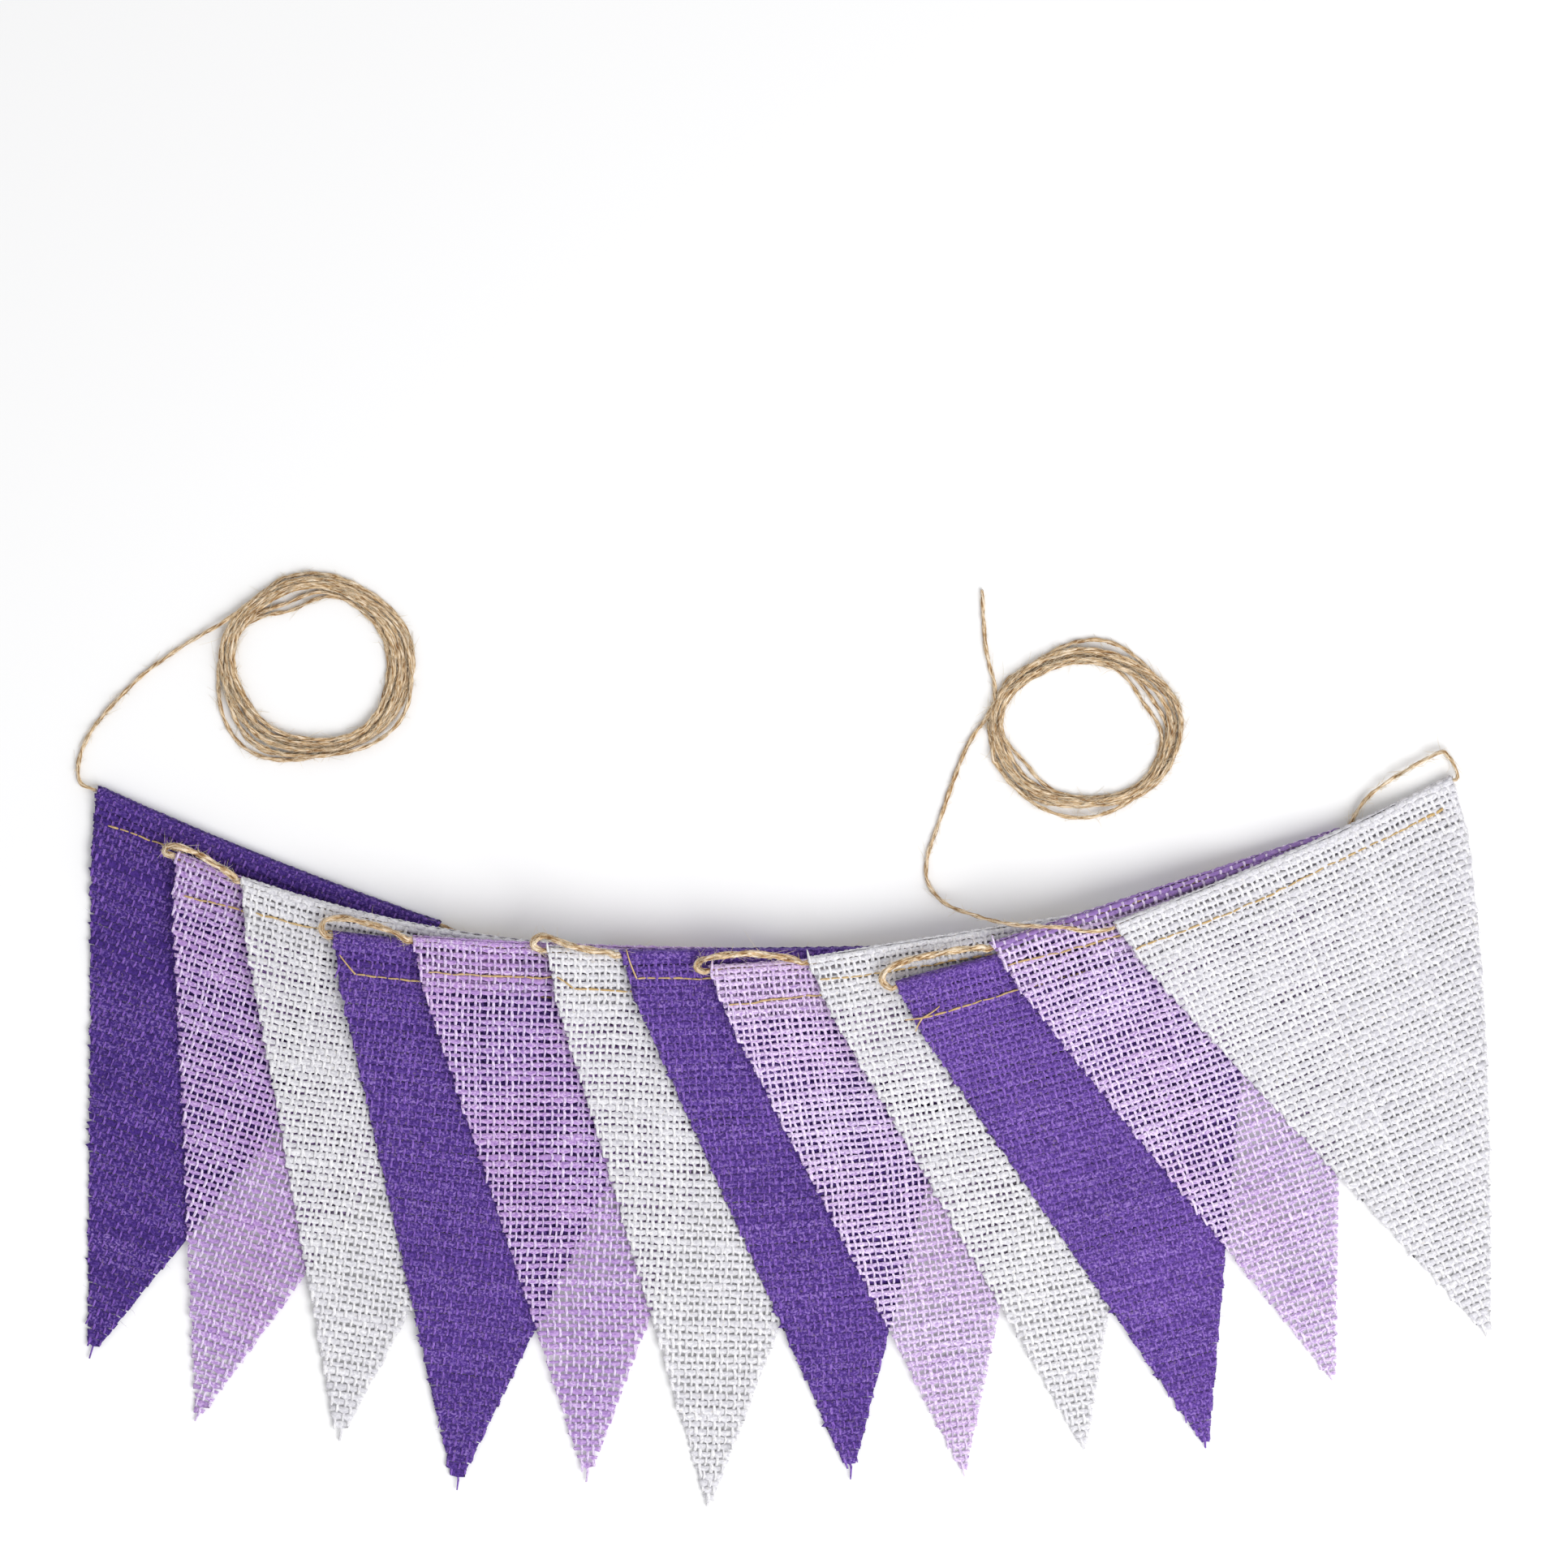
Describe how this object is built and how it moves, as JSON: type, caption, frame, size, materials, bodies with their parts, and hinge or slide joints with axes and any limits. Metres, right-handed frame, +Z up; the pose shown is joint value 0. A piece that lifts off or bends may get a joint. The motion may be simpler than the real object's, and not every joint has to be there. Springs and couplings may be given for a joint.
{
  "type": "fabric bunting",
  "caption": "Hessian pennant bunting on jute twine, folded up zigzag and fanned out flat, with a wound coil of spare twine at each end.",
  "frame": {"origin": "middle of the pennants' outline seen from above, on the surface that they lie on", "axes": "+Z up from the surface, +X to the right along the fan of pennants, +Y from the tips towards the hems"},
  "size_m": [0.4869, 0.3212, 0.0269],
  "materials": {
    "purple_hessian": "matte",
    "lilac_hessian": "matte",
    "white_hessian": "matte",
    "jute_twine": "matte"
  },
  "bodies": {
    "root": {"pennant_01_purple": "purple_hessian", "pennant_02_lilac": "lilac_hessian", "pennant_03_white": "white_hessian", "pennant_04_purple": "purple_hessian", "pennant_05_lilac": "lilac_hessian", "pennant_06_white": "white_hessian", "pennant_07_purple": "purple_hessian", "pennant_08_lilac": "lilac_hessian", "pennant_09_white": "white_hessian", "pennant_10_purple": "purple_hessian", "pennant_11_lilac": "lilac_hessian", "pennant_12_white": "white_hessian", "twine_hem_run": "jute_twine", "twine_left_lead": "jute_twine", "twine_left_coil": "jute_twine", "twine_right_lead": "jute_twine", "twine_right_coil": "jute_twine", "twine_loose_end": "jute_twine"}
  },
  "joints": []
}
